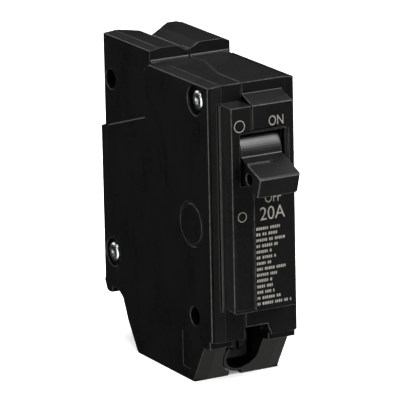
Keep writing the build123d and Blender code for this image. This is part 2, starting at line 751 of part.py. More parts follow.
def load_strap():
    """Copper strap from the foot of the bimetal to the terminal plate."""
    path = [(27.8, 11.0), (27.8, 3.3), (17.2, 3.3), (17.2, 16.0)]
    body = slab(ribbon(path, 1.2), 9.4, 15.4)
    body += block((8.2, 16.6), (16.6, 17.8), (5.0, 16.0))
    return body - rod_y(CHANNEL_X, SCREW_Z, SCREW_R + RUNNING, 10, 24)


def flexible_braid():
    """Copper braid from the bimetal's ear to the ear on the contact arm."""
    points = [
        (7.2, 28.8, 31.9),
        (7.2, 28.8, 36.2),
        (7.2, 26.6, 42.2),
        (7.2, 22.6, 45.8),
        (7.2, 18.2, 45.8),
    ]
    path = FilletPolyline(*points, radius=[5.0, 7.0, 5.0])
    section = Plane(path @ 0, z_dir=path % 0) * Circle(0.95)
    return sweep(section, path=path)


# ---------------------------------------------------------------- load terminal
def terminal_screw():
    """Clamping screw with a slotted, cross-recessed pan head."""
    body = rod_y(CHANNEL_X, SCREW_Z, SCREW_R, 12.2, 21.4)
    for i in range(9):
        y = 14.6 + i * SCREW_PITCH
        groove = rod_y(CHANNEL_X, SCREW_Z, SCREW_R + 1, y, y + 0.3)
        body -= groove - rod_y(CHANNEL_X, SCREW_Z, SCREW_R - 0.28, y, y + 0.3)
    head = rod_y(CHANNEL_X, SCREW_Z, 3.6, 10.0, 12.2)
    head = chamfer(head.edges().filter_by(GeomType.CIRCLE).group_by(Axis.Y)[0], 0.6)
    body += head
    slot = block((CHANNEL_X - 0.5, CHANNEL_X + 0.5), (9.5, 11.3), (SCREW_Z - 5, SCREW_Z + 5))
    cross = block((CHANNEL_X - 2.0, CHANNEL_X + 2.0), (9.5, 11.3), (SCREW_Z - 0.5, SCREW_Z + 0.5))
    return body - slot - cross


def pressure_plate():
    """Saddle under the screw head that bites the wire against the terminal plate."""
    body = block((8.4, 16.5), (12.3, 13.4), (4.2, 14.6))
    for x in (9.2, 11.4, 13.6, 15.8):
        body -= Pos(x, 13.5, 6.6) * Rot(0, 0, 45) * Box(0.5, 0.5, 5.2)
    return body - rod_y(CHANNEL_X, SCREW_Z, SCREW_R + RUNNING, 10, 16)


# ---------------------------------------------------------------- arc chute
PLATE_COUNT = 6
PLATE_STEP = 3.1
PLATE_Z = 22.4


def arc_plate(z):
    """One steel plate with a notch that draws the arc in, and tabs for the side sheets."""
    points = [
        (6.8, 37.0),
        (9.6, 37.0),
        (11.9, 42.0),
        (12.9, 42.0),
        (15.2, 37.0),
        (18.0, 37.0),
        (18.0, 49.4),
        (6.8, 49.4),
    ]
    body = plan(points, z, z + 1.2)
    return body + block((5.7, 19.1), (41.5, 45.0), (z, z + 1.2))


def arc_plates():
    return Compound(children=[arc_plate(PLATE_Z + i * PLATE_STEP) for i in range(PLATE_COUNT)])


def arc_chute_holder():
    """Fibre sheet folded round the plates, slotted for their tabs."""
    z = (20.2, 40.2)
    body = block((5.6, 6.75), (36.2, 50.6), z)
    body += block((18.05, 19.2), (36.2, 50.6), z)
    body += block((5.6, 19.2), (49.5, 50.6), z)
    for i in range(PLATE_COUNT):
        low = PLATE_Z + i * PLATE_STEP
        body -= block((5.0, 20.0), (41.45, 45.05), (low - 0.05, low + 1.25))
        body -= block((8.0, 16.8), (49.0, 51.0), (low + 1.6, low + 2.7))
    return body


def vent_baffle():
    """Slotted fibre sheet that cools the gas before it leaves the case."""
    body = block((2.0, 23.2), (52.4, 53.4), (30.0, 54.0))
    for i in range(6):
        low = 32.0 + i * 3.4
        body -= block((5.0, 20.2), (52, 54), (low, low + 1.6))
    return body


# ---------------------------------------------------------------- fasteners and pins
def case_rivets():
    """Two tubular rivets that close the case, heads sunk in the side faces."""
    rivets = []
    for at in RIVETS:
        low = RIVET_RECESS
        high = WIDTH - RIVET_RECESS
        body = rod_x(at, RIVET_R, low - 0.2, high + 0.2)
        head = rod_x(at, RIVET_HEAD_R, low - 1.1, low)
        head = chamfer(head.edges().filter_by(GeomType.CIRCLE).group_by(Axis.X)[0], 0.55)
        tail = rod_x(at, 2.5, high, high + 0.9)
        tail = chamfer(tail.edges().filter_by(GeomType.CIRCLE).group_by(Axis.X)[-1], 0.5)
        rivets.append(body + head + tail - rod_x(at, 0.9, high - 5, high + 2))
    return Compound(children=rivets)


def handle_pin():
    return rod_x(HANDLE_PIVOT, HANDLE_PIN_R, 0.9, WIDTH - 0.9)


# ---------------------------------------------------------------- write every piece
def main():
    case = hollow_case()
    pieces = {
        "left_cover": left_cover(case),
        "right_base": right_base(case),
        "handle": handle(),
        "handle_pin": handle_pin(),
        "case_rivets": case_rivets(),
        "contact_arm": contact_arm(),
        "arm_pins": arm_pins(),
        "moving_contact": moving_contact(),
        "stationary_contact": stationary_contact(),
        "line_strap": line_strap(),
        "line_jaw": line_jaw(),
        "jaw_springs": jaw_springs(),
        "cradle": cradle(),
        "cradle_pin": cradle_pin(),
        "toggle_spring": toggle_spring(),
        "armature": armature(),
        "armature_pin": armature_pin(),
        "armature_spring": armature_spring(),
        "magnet_yoke": magnet_yoke(),
        "bimetal": bimetal(),
        "calibration_screw": calibration_screw(),
        "load_strap": load_strap(),
        "flexible_braid": flexible_braid(),
        "terminal_screw": terminal_screw(),
        "pressure_plate": pressure_plate(),
        "arc_plates": arc_plates(),
        "arc_chute_holder": arc_chute_holder(),
        "vent_baffle": vent_baffle(),
    }
    os.makedirs("parts", exist_ok=True)
    for name, shape in pieces.items():
        export_step(PLACE * shape, f"parts/{name}.step")


main()
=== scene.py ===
import json
import math
import random

import bmesh
import bpy
from mathutils import Matrix, Vector
from mathutils.geometry import intersect_line_line_2d


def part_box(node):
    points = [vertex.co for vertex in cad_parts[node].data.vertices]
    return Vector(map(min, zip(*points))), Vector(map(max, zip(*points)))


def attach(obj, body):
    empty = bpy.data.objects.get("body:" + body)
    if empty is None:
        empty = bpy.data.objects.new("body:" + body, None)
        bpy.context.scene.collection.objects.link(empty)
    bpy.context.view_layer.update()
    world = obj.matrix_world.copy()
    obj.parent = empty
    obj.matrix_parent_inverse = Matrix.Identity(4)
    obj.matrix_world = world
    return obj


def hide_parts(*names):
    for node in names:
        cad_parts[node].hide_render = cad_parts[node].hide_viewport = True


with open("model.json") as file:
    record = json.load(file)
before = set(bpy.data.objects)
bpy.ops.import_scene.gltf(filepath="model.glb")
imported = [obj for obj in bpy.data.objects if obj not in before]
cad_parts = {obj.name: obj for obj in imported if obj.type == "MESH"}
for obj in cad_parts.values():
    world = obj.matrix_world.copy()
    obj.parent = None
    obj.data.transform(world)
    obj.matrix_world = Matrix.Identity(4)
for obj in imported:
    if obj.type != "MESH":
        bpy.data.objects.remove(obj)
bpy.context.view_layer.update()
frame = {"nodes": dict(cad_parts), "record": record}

MM = 0.001

# ---------------------------------------------------------------- places, from the frame
LEFT_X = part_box("left_cover")[0].x          # left side face of the case
REAR_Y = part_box("right_base")[1].y          # lower rear face
CASE_DEPTH = 60.6                           # mm from the front plane to the rear face
FRONT_Y = REAR_Y - CASE_DEPTH * MM          # front plane of the case, behind the label panel
PANEL = -5.3                                # face of the label panel, in mm from the front plane


def at(x, y, z):
    """A point given in mm from the left side face, the front plane and the bottom."""
    return Vector((LEFT_X + x * MM, FRONT_Y + y * MM, z * MM))


# ---------------------------------------------------------------- material building blocks
class Shader:
    """A Principled material with helpers that chain nodes in the part's own millimetres."""

    def __init__(self, name, colour, roughness, metallic=0.0, specular=0.5):
        self.material = bpy.data.materials.new(name)
        self.material.use_nodes = True
        tree = self.material.node_tree
        self.nodes = tree.nodes
        self.links = tree.links
        self.bsdf = self.nodes["Principled BSDF"]
        self.bsdf.inputs["Base Color"].default_value = (*colour, 1)
        self.bsdf.inputs["Roughness"].default_value = roughness
        self.bsdf.inputs["Metallic"].default_value = metallic
        self.bsdf.inputs["Specular IOR Level"].default_value = specular
        self.place = self.nodes.new("ShaderNodeTexCoord").outputs["Object"]

    def link(self, source, target):
        self.links.new(source, target)

    def mapped(self, stretch):
        """Object coordinates in millimetres, multiplied by stretch along each axis."""
        node = self.nodes.new("ShaderNodeMapping")
        node.inputs["Scale"].default_value = [s / MM for s in stretch]
        self.link(self.place, node.inputs["Vector"])
        return node.outputs["Vector"]

    def noise(self, stretch, detail=4.0, rough=0.6, distortion=0.0):
        """Noise whose cell is 1 / stretch millimetres along each axis."""
        node = self.nodes.new("ShaderNodeTexNoise")
        node.inputs["Scale"].default_value = 1.0
        node.inputs["Detail"].default_value = detail
        node.inputs["Roughness"].default_value = rough
        node.inputs["Distortion"].default_value = distortion
        self.link(self.mapped(stretch), node.inputs["Vector"])
        return node.outputs["Fac"]

    def cells(self, stretch):
        node = self.nodes.new("ShaderNodeTexVoronoi")
        node.inputs["Scale"].default_value = 1.0
        self.link(self.mapped(stretch), node.inputs["Vector"])
        return node.outputs["Distance"]

    def attribute(self, name):
        node = self.nodes.new("ShaderNodeAttribute")
        node.attribute_name = name
        return node.outputs["Fac"]

    def ramp(self, value, low, high, start=0.0, end=1.0):
        """Carry a value from low..high to start..end, clamped."""
        node = self.nodes.new("ShaderNodeMapRange")
        node.inputs["From Min"].default_value = low
        node.inputs["From Max"].default_value = high
        node.inputs["To Min"].default_value = start
        node.inputs["To Max"].default_value = end
        self.link(value, node.inputs["Value"])
        return node.outputs["Result"]

    def math(self, operation, a, b):
        node = self.nodes.new("ShaderNodeMath")
        node.operation = operation
        for socket, value in zip(node.inputs, (a, b)):
            if isinstance(value, (int, float)):
                socket.default_value = value
            else:
                self.link(value, socket)
        return node.outputs["Value"]

    def mix(self, factor, a, b):
        """Blend two colours, each a tuple or another node's output."""
        node = self.nodes.new("ShaderNodeMix")
        node.data_type = "RGBA"
        self.link(factor, node.inputs["Factor"])
        for socket, value in ((node.inputs[6], a), (node.inputs[7], b)):
            if isinstance(value, tuple):
                socket.default_value = (*value, 1)
            else:
                self.link(value, socket)
        return node.outputs[2]

    def colour(self, source):
        self.link(source, self.bsdf.inputs["Base Color"])

    def roughness(self, source):
        self.link(source, self.bsdf.inputs["Roughness"])

    def bump(self, height, depth_mm, strength=1.0, before=None):
        node = self.nodes.new("ShaderNodeBump")
        node.inputs["Distance"].default_value = depth_mm * MM
        node.inputs["Strength"].default_value = strength
        self.link(height, node.inputs["Height"])
        if before is not None:
            self.link(before, node.inputs["Normal"])
        self.link(node.outputs["Normal"], self.bsdf.inputs["Normal"])
        return node.outputs["Normal"]


def tint(colour, factor):
    return tuple(min(1.0, c * factor) for c in colour)


# ---------------------------------------------------------------- materials
def moulded(name, colour, roughness, specular, grain):
    """Black moulded thermoset: flow mottling, fine grain, a painted highlight on the outer edges,
    scratches and dust.
    """
    s = Shader(name, colour, roughness, specular=specular)
    flow = s.noise((0.09, 0.09, 0.05), detail=5, distortion=0.6)
    fine = s.noise((6, 6, 6), detail=3, rough=0.7)
    body = s.mix(s.ramp(flow, 0.35, 0.68), tint(colour, 0.8), tint(colour, 1.25))
    # Painted highlight: the outer-edge rounds carried by the worn mark are lightened in patches
    # towards a pale grey.
    edge_highlight_patches = s.ramp(s.noise((0.8, 0.8, 0.8), detail=3), 0.32, 0.62, 0.15, 1.0)
    body = s.mix(s.math("MULTIPLY", s.attribute("worn"), edge_highlight_patches), body, EDGE_HIGHLIGHT_COLOUR)
    streaks = s.noise((0.5, 0.35, 7), detail=2, distortion=0.3)
    marks = s.ramp(streaks, 0.76, 0.84, 0.0, 0.10)
    body = s.mix(marks, body, tint(colour, 9))
    dust = s.ramp(s.cells((1.1, 1.1, 1.1)), 0.05, 0.02, 0.0, 0.35)
    patches = s.ramp(s.noise((0.12, 0.12, 0.12), detail=2), 0.5, 0.62)
    body = s.mix(s.math("MULTIPLY", dust, patches), body, tint(colour, 18))
    s.colour(body)
    uneven = s.math("ADD", s.ramp(flow, 0.3, 0.7, -0.02, 0.03), s.ramp(fine, 0.3, 0.7, -0.03, 0.03))
    s.roughness(s.math("ADD", uneven, roughness))
    waves = s.bump(s.noise((0.12, 0.12, 0.12), detail=1), 0.03, 0.5)
    s.bump(s.noise((grain, grain, grain), detail=2), 0.012, 0.7, before=waves)
    return s.material


def plated(name, colour, roughness, stretch=(0.6, 0.6, 0.6)):
    """Plated metal: cloudy plating, fine scratches and darker dull spots."""
    s = Shader(name, colour, roughness, metallic=1.0)
    cloud = s.noise(stretch, detail=5, distortion=0.4)
    body = s.mix(s.ramp(cloud, 0.3, 0.7), tint(colour, 0.82), tint(colour, 1.08))
    spots = s.ramp(s.noise((2.2, 2.2, 2.2), detail=2), 0.66, 0.74, 0.0, 0.5)
    s.colour(s.mix(spots, body, tint(colour, 0.55)))
    lines = s.noise((1.0, 9, 1.5), detail=2)
    s.roughness(s.math("ADD", s.ramp(cloud, 0.3, 0.7, -0.07, 0.1), roughness))
    s.bump(lines, 0.006, 0.6)
    return s.material


def rolled(name, colour, roughness, tarnish):
    """Rolled strip metal: draw lines along the strip and uneven tarnish."""
    s = Shader(name, colour, roughness, metallic=1.0)
    lines = s.noise((7, 7, 0.3), detail=3, rough=0.7)
    cloud = s.noise((0.25, 0.25, 0.25), detail=5, distortion=0.8)
    body = s.mix(s.ramp(cloud, 0.38, 0.7), colour, tarnish)
    s.colour(s.mix(s.ramp(lines, 0.45, 0.75, 0.0, 0.35), body, tint(colour, 1.25)))
    s.roughness(s.math("ADD", s.ramp(lines, 0.3, 0.7, -0.08, 0.12), roughness))
    s.bump(lines, 0.006, 0.7)
    return s.material


def woven(name, colour):
    """Braided copper wire: two sets of strands crossing at a steep angle."""
    s = Shader(name, colour, 0.38, metallic=1.0)
    sets = []
    for lean in (55, -55):
        node = s.nodes.new("ShaderNodeTexWave")
        node.inputs["Scale"].default_value = 2.6
        node.inputs["Distortion"].default_value = 0.4
        turn = s.nodes.new("ShaderNodeMapping")
        turn.inputs["Rotation"].default_value = (math.radians(lean), 0, math.radians(lean))
        turn.inputs["Scale"].default_value = (1 / MM, 1 / MM, 1 / MM)
        s.link(s.place, turn.inputs["Vector"])
        s.link(turn.outputs["Vector"], node.inputs["Vector"])
        sets.append(node.outputs["Fac"])
    weave = s.math("MULTIPLY", *sets)
    s.colour(s.mix(weave, tint(colour, 0.35), tint(colour, 1.2)))
    s.roughness(s.ramp(weave, 0, 1, 0.55, 0.3))
    s.bump(weave, 0.12)
    return s.material


def fibre(name, colour):
    """Pressed fibre board: matted short fibres and soot near the arc chamber."""
    s = Shader(name, colour, 0.85, specular=0.25)
    mat = s.noise((3, 3, 14), detail=4, distortion=1.5)
    soot = s.ramp(s.noise((0.2, 0.2, 0.2), detail=4), 0.45, 0.75, 0.0, 0.7)
    body = s.mix(s.ramp(mat, 0.35, 0.65), tint(colour, 0.75), tint(colour, 1.2))
    s.colour(s.mix(soot, body, tint(colour, 0.25)))
    s.roughness(s.ramp(mat, 0.3, 0.7, 0.75, 0.95))
    s.bump(mat, 0.04)
    return s.material


def printed(name, colour):
    """Pad-printed ink: slightly worn and patchy over the moulding's grain."""
    s = Shader(name, colour, 0.6, specular=0.3)
    worn = s.noise((2.5, 2.5, 2.5), detail=4)
    s.colour(s.mix(s.ramp(worn, 0.45, 0.75, 0.0, 0.6), colour, tint(colour, 0.45)))
    s.roughness(s.ramp(worn, 0.3, 0.7, 0.5, 0.75))
    s.bump(s.noise((9, 9, 9), detail=2), 0.006)
    return s.material


# Pale grey of the painted highlight on outer edges.
EDGE_HIGHLIGHT_COLOUR = (0.030, 0.030, 0.028)
CASE_COLOUR = (0.0019, 0.0020, 0.0019)
HANDLE_COLOUR = (0.0014, 0.0015, 0.0015)
STEEL = (0.16, 0.16, 0.155)
COPPER = (0.72, 0.36, 0.20)
INK_COLOUR = (0.150, 0.142, 0.125)

MATERIALS = {
    "case_black": moulded("case_black", CASE_COLOUR, 0.29, 0.17, 3.5),
    "handle_black": moulded("handle_black", HANDLE_COLOUR, 0.34, 0.26, 4.5),
    "rivet_steel": plated("rivet_steel", (0.34, 0.36, 0.37), 0.24),
    "zinc_steel": plated("zinc_steel", STEEL, 0.34),
    "spring_steel": rolled("spring_steel", (0.42, 0.42, 0.43), 0.32, (0.25, 0.24, 0.23)),
    "copper": rolled("copper", COPPER, 0.34, (0.42, 0.20, 0.12)),
    "tinned_copper": rolled("tinned_copper", (0.70, 0.66, 0.60), 0.36, (0.5, 0.42, 0.34)),
    "copper_braid": woven("copper_braid", COPPER),
    "silver_contact": plated("silver_contact", (0.82, 0.81, 0.78), 0.4, (1.5, 1.5, 1.5)),
    "bimetal_strip": rolled("bimetal_strip", (0.52, 0.50, 0.45), 0.36, (0.36, 0.31, 0.24)),
    "brass_screw": plated("brass_screw", (0.74, 0.58, 0.30), 0.3),
    # Painted shade: the terminal screw and its plate are made near black to stand in for the shade
    # deep in the wire channel.
    "plated_screw": plated("plated_screw", (0.035, 0.035, 0.034), 0.5),
    "grey_fibre": fibre("grey_fibre", (0.30, 0.29, 0.27)),
}
INK = printed("printed_ink", INK_COLOUR)


# ---------------------------------------------------------------- mesh helpers
def add_piece(name, mesh, material, body, nodes=()):
    """Put a mesh in the scene, riding on a body and standing for the nodes named."""
    piece = bpy.data.objects.new(name, mesh)
    bpy.context.scene.collection.objects.link(piece)
    mesh.materials.clear()
    mesh.materials.append(material)
    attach(piece, body)
    if nodes:
        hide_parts(*nodes)
    return piece


def smooth_by_angle(mesh, degrees):
    """Smooth shading, with edges sharper than this kept sharp."""
    mesh.shade_smooth()
    bm = bmesh.new()
    bm.from_mesh(mesh)
    limit = math.radians(degrees)
    for edge in bm.edges:
        edge.smooth = edge.is_manifold and edge.calc_face_angle(0) < limit
    bm.to_mesh(mesh)
    bm.free()


HARD_ANGLE = math.radians(30)           # edges sharper than this are rounded
STRAIGHT_ANGLE = math.radians(155)      # two edges that meet flatter than this share one width
EDGE_ROOM = 0.85                        # share of an edge's length that its bevels may use
SURFACE_ROOM = 0.36                     # widest bevel as a share of the surface beside it
SLACK = 1.01                            # how far over its room a bevel may be
TINY = 1e-9


def surface_widths(bm):
    """How wide the smooth surface that each face belongs to is, by face index."""
    widths = {}
    for seed in bm.faces:
        if seed.index in widths:
            continue
        surface = {seed}
        todo = [seed]
        rim = 0.0
        while todo:
            face = todo.pop()
            for edge in face.edges:
                if len(edge.link_faces) != 2 or edge.calc_face_angle(0) > HARD_ANGLE:
                    rim += edge.calc_length()
                    continue
                for beside in edge.link_faces:
                    if beside not in surface:
                        surface.add(beside)
                        todo.append(beside)
        width = 2 * sum(face.calc_area() for face in surface) / max(rim, TINY)
        for face in surface:
            widths[face.index] = width
    return widths


def length_used(corner, widths, along, beside):
    """How much of the edge `along` the bevels eat at a face's corner."""
    angle = corner.calc_angle()
    w, other = widths[along], widths[beside]
    if w == 0 and other == 0:
        return 0.0
    if w > 0 and other > 0 and not corner.is_convex:
        return 0.0
    return max(0.0, (other + w * math.cos(angle)) / max(math.sin(angle), 0.05))


def fit_widths(bm, widths):
    """Narrow the bevels until every edge has room for those at its two ends."""
    for _ in range(40):
        changed = False
        for face in bm.faces:
            for loop in face.loops:
                after = loop.link_loop_next
                edge, before, behind = loop.edge, loop.link_loop_prev.edge, after.edge
                straight = min(after.calc_angle(), math.pi) > STRAIGHT_ANGLE
                if straight and widths[edge] > 0 and widths[behind] > 0:
                    low = min(widths[edge], widths[behind])
                    changed = changed or max(widths[edge], widths[behind]) > low * SLACK
                    widths[edge] = widths[behind] = low
                used = length_used(loop, widths, edge, before)
                used += length_used(after, widths, edge, behind)
                room = EDGE_ROOM * edge.calc_length()
                if used > room * SLACK:
                    share = max(room / used, 0.3)
                    for narrowed in (edge, before, behind):
                        widths[narrowed] *= share
                    changed = True
        if not changed:
            return


def first_widths(bm, width):
    """A bevel for each hard edge that its surfaces and its neighbours have room for."""
    surfaces = surface_widths(bm)
    widths = {}
    for edge in bm.edges:
        edge.smooth = True
        widths[edge] = 0.0
        if len(edge.link_faces) == 2 and edge.calc_face_angle(0) > HARD_ANGLE:
            room = SURFACE_ROOM * min(surfaces[face.index] for face in edge.link_faces)
            widths[edge] = min(width, room)
    fit_widths(bm, widths)
    return widths


def crossings(mesh):
    """Points where the outline of a face crosses itself."""
    mesh.calc_loop_triangles()
    filled = [0.0] * len(mesh.polygons)
    for triangle in mesh.loop_triangles:
        filled[triangle.polygon_index] += triangle.area
    found = []
    for face in mesh.polygons:
        if filled[face.index] < face.area * 1.01 + 0.01 * MM * MM:
            continue
        turn = face.normal.to_track_quat("Z", "Y").to_matrix().inverted()
        points = [mesh.vertices[i].co for i in face.vertices]
        flat = [(turn @ point).to_2d() for point in points]
        count = len(flat)
        for i in range(count):
            for j in range(i + 2, count - (i == 0)):
                ends = (flat[i], flat[i + 1], flat[j], flat[(j + 1) % count])
                if intersect_line_line_2d(*ends):
                    found.append((points[i] + points[i + 1]) / 2)
                    found.append((points[j] + points[(j + 1) % count]) / 2)
    return found


def narrow_near(bm, widths, places, reach):
    """Narrow the bevels that pass near any of these places."""
    for edge, width in widths.items():
        if width == 0:
            continue
        a, b = (vert.co for vert in edge.verts)
        for place in places:
            share = min(1.0, max(0.0, (place - a).dot(b - a) / max((b - a).length_squared, 1e-18)))
            if (a + (b - a) * share - place).length < reach:
                widths[edge] = 0.45 * width
                break
    fit_widths(bm, widths)


def bevelled(bm, widths, width, segments):
    """The mesh with each edge bevelled to its own width; the rounds take material slot 1."""
    weight = bm.edges.layers.float["bevel_weight_edge"]
    for edge, value in widths.items():
        edge[weight] = value / width
    mesh = bpy.data.meshes.new("rounding")
    bm.to_mesh(mesh)
    mesh.shade_smooth()
    for slot in ("flat", "round"):
        mesh.materials.append(bpy.data.materials.get(slot) or bpy.data.materials.new(slot))
    rough = bpy.data.objects.new("rounding", mesh)
    bpy.context.scene.collection.objects.link(rough)
    bevel = rough.modifiers.new("round", "BEVEL")
    bevel.width = width
    bevel.segments = segments
    bevel.limit_method = "WEIGHT"
    bevel.use_clamp_overlap = False
    bevel.miter_outer = "MITER_SHARP"
    bevel.material = 1
    bpy.context.view_layer.update()
    graph = bpy.context.evaluated_depsgraph_get()
    result = bpy.data.meshes.new_from_object(rough.evaluated_get(graph))
    bpy.data.objects.remove(rough)
    return result


FLAT_WIDTH = 0.45       # a face wider than this, in mm, counts as flat
BLEND_COS = 0.76        # faces whose normals differ more than this aren't blended
FLAT_PULL = 50          # how much more a flat face counts in a blended normal


def set_normals(mesh):
    """Flat faces stay flat; rounds and curved walls blend into the flat faces beside them."""
    around = [[] for _ in mesh.vertices]
    flat = []
    for face in mesh.polygons:
        corners = [mesh.vertices[i].co for i in face.vertices]
        rim = sum((a - b).length for a, b in zip(corners, corners[1:] + corners[:1]))
        flat.append(2 * face.area / max(rim, TINY) > FLAT_WIDTH * MM)
        for i in face.vertices:
            around[i].append(face.index)
    normals = []
    for face in mesh.polygons:
        for i in face.vertices:
            if flat[face.index]:
                normals.append(face.normal.copy())
                continue
            total = Vector((0, 0, 0))
            for other in around[i]:
                beside = mesh.polygons[other]
                if beside.normal.dot(face.normal) > BLEND_COS:
                    total += beside.normal * (beside.area * (FLAT_PULL if flat[other] else 1))
            normals.append(total.normalized() if total.length > 0 else face.normal.copy())
    mesh.shade_smooth()
    mesh.normals_split_custom_set(normals)


def mark_highlit_edges(mesh):
    """Mark the rounds on outer edges, which get a painted highlight; rounds in corners get none."""
    centres = [face.center.copy() for face in mesh.polygons]
    beside = {}
    for face in mesh.polygons:
        for key in face.edge_keys:
            beside.setdefault(key, []).append(face.index)
    # The worn mark only picks out where the painted edge highlight goes.
    worn = mesh.attributes.new("worn", "FLOAT", "FACE")
    for face in mesh.polygons:
        if face.material_index == 1:
            outward = 0.0
            for key in face.edge_keys:
                for other in beside[key]:
                    span = centres[other] - centres[face.index]
                    if other != face.index and span.length > 0:
                        outward += span.normalized().dot(face.normal)
            worn.data[face.index].value = 1.0 if outward < -0.05 else 0.0
    for face in mesh.polygons:
        face.material_index = 0


def hold_inside(mesh, node):
    """Move any corner that the rounding pushed past the node's own box back onto it."""
    low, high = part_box(node)
    for vert in mesh.vertices:
        vert.co = [min(max(v, a), b) for v, a, b in zip(vert.co, low, high)]


def softened(node, width_mm, segments=2):
    """A copy of a CAD node's mesh with each hard edge rounded as far as there is room."""
    width = width_mm * MM
    bm = bmesh.new()
    bm.from_mesh(frame["nodes"][node].data)
    bmesh.ops.remove_doubles(bm, verts=bm.verts, dist=0.002 * MM)
    bmesh.ops.dissolve_degenerate(bm, dist=0.02 * MM, edges=bm.edges)
    bmesh.ops.dissolve_limit(bm, angle_limit=math.radians(0.3), verts=bm.verts, edges=bm.edges)
    bm.faces.index_update()
    bm.edges.layers.float.new("bevel_weight_edge")
    widths = first_widths(bm, width)
    for _ in range(9):
        result = bevelled(bm, widths, width, segments)
        places = crossings(result)
        if not places:
            break
        narrow_near(bm, widths, places, 0.3 * MM)
    bm.free()
    hold_inside(result, node)
    set_normals(result)
    mark_highlit_edges(result)
    return result


def lathe_x(profile, centre, steps=64):
    """Turn a profile of (distance along X, radius) in mm about an X axis through centre."""
    bm = bmesh.new()
    rings = []
    for along, radius in profile:
        ring = []
        for i in range(steps):
            turn = 2 * math.pi * i / steps
            offset = Vector((along, radius * math.cos(turn), radius * math.sin(turn))) * MM
            ring.append(bm.verts.new(centre + offset))
        rings.append(ring)
    for a, b in zip(rings, rings[1:]):
        for i in range(steps):
            j = (i + 1) % steps
            bm.faces.new((a[i], a[j], b[j], b[i]))
    bm.faces.new(rings[0])
    bm.faces.new(reversed(rings[-1]))
    bmesh.ops.recalc_face_normals(bm, faces=bm.faces)
    return bm


def mesh_from(bm, name, sharp=40):
    mesh = bpy.data.meshes.new(name)
    bm.to_mesh(mesh)
    bm.free()
    smooth_by_angle(mesh, sharp)
    return mesh


# ---------------------------------------------------------------- pieces
def paint_cad_nodes():
    """Every CAD node takes the material of its slot."""
    for part in frame["record"]["subparts"]:
        node = frame["nodes"][part["node"]]
        for holder in node.material_slots:
            holder.material = MATERIALS[part["material_slot"]]


CASE_EDGE = 0.22        # widths of the rounded edges, in mm
HANDLE_EDGE = 0.28


def soften_case():
    for node in ("left_cover", "right_base"):
        mesh = softened(node, CASE_EDGE)
        add_piece(node + "_shell", mesh, MATERIALS["case_black"], "case", [node])
    mesh = softened("handle", HANDLE_EDGE, segments=3)
    add_piece("handle_rocker", mesh, MATERIALS["handle_black"], "handle", ["handle"])


RIVETS = ((7.5, 75.75), (55.2, 24.25))      # Y and Z of each rivet
RIVET_RECESS = 1.7                          # how deep head and tail sit under the side faces
AXIS_RADIUS = 0.0001                        # a profile starts and ends just off its axis


def rivet(y, z, width):
    """A tubular rivet: domed head on the left, rolled tail on the right."""
    top = RIVET_RECESS
    head = [(top - 0.62, AXIS_RADIUS), (top - 0.98, 0.9), (top - 1.06, 1.6), (top - 0.98, 2.2)]
    head += [(top - 0.72, 2.62), (top - 0.36, 2.8), (top - 0.02, 2.76), (top, 2.6), (top, 1.6)]
    far = width - RIVET_RECESS
    tail = [(far, 1.6), (far, 2.35), (far + 0.25, 2.5), (far + 0.62, 2.38), (far + 0.85, 1.95)]
    tail += [(far + 0.8, 1.4), (far + 0.45, 1.05), (far - 0.5, 0.9), (far - 4.5, 0.86)]
    tail.append((far - 4.7, AXIS_RADIUS))
    return lathe_x(head + tail, at(0, y, z))


def build_rivets():
    width = -2 * LEFT_X / MM
    whole = bmesh.new()
    for y, z in RIVETS:
        one = rivet(y, z, width)
        mesh = bpy.data.meshes.new("one_rivet")
        one.to_mesh(mesh)
        one.free()
        whole.from_mesh(mesh)
        bpy.data.meshes.remove(mesh)
    mesh = mesh_from(whole, "case_rivets", 50)
    add_piece("turned_rivets", mesh, MATERIALS["rivet_steel"], "case", ["case_rivets"])


# ---------------------------------------------------------------- generic printing
INK_LIFT = 0.02         # how far the ink stands off the panel, in mm
RING_X, RING_Z = 5.75, 70.8
SMALL_RING_X, SMALL_RING_Z = 6.1, 47.0


def lettering(name, text, x, z):
    """Printed characters that fill the box x = (left, right), z = (bottom, top) on the panel."""
    curve = bpy.data.curves.new(name, "FONT")
    curve.body = text
    curve.extrude = 0.01
    curve.offset = -0.004
    source = bpy.data.objects.new(name, curve)
    bpy.context.scene.collection.objects.link(source)
    bpy.context.view_layer.update()
    graph = bpy.context.evaluated_depsgraph_get()
    mesh = bpy.data.meshes.new_from_object(source.evaluated_get(graph))
    bpy.data.objects.remove(source)
    low = Vector([min(v.co[i] for v in mesh.vertices) for i in range(3)])
    high = Vector([max(v.co[i] for v in mesh.vertices) for i in range(3)])
    for v in mesh.vertices:
        share = [(v.co[i] - low[i]) / (high[i] - low[i]) for i in range(3)]
        lift = PANEL - INK_LIFT * share[2]
        v.co = at(x[0] + share[0] * (x[1] - x[0]), lift, z[0] + share[1] * (z[1] - z[0]))
    return add_piece(name, mesh, INK, "case")


def add_bar(bm, x0, x1, z0, z1):
    """One printed block with rounded corners."""
    radius = 0.12
    outline = []
    for x, z, start in ((x1, z0, -90), (x1, z1, 0), (x0, z1, 90), (x0, z0, 180)):
        inward_x = radius if x == x0 else -radius
        inward_z = radius if z == z0 else -radius
        for i in range(4):
            turn = math.radians(start + 30 * i)
            round_x, round_z = radius * math.cos(turn), radius * math.sin(turn)
            outline.append((x + inward_x + round_x, z + inward_z + round_z))
    front = [bm.verts.new(at(x, PANEL - INK_LIFT, z)) for x, z in outline]
    back = [bm.verts.new(at(x, PANEL, z)) for x, z in outline]
    bm.faces.new(front)
    bm.faces.new(reversed(back))
    for i in range(len(outline)):
        j = (i + 1) % len(outline)
        bm.faces.new((front[i], back[i], back[j], front[j]))


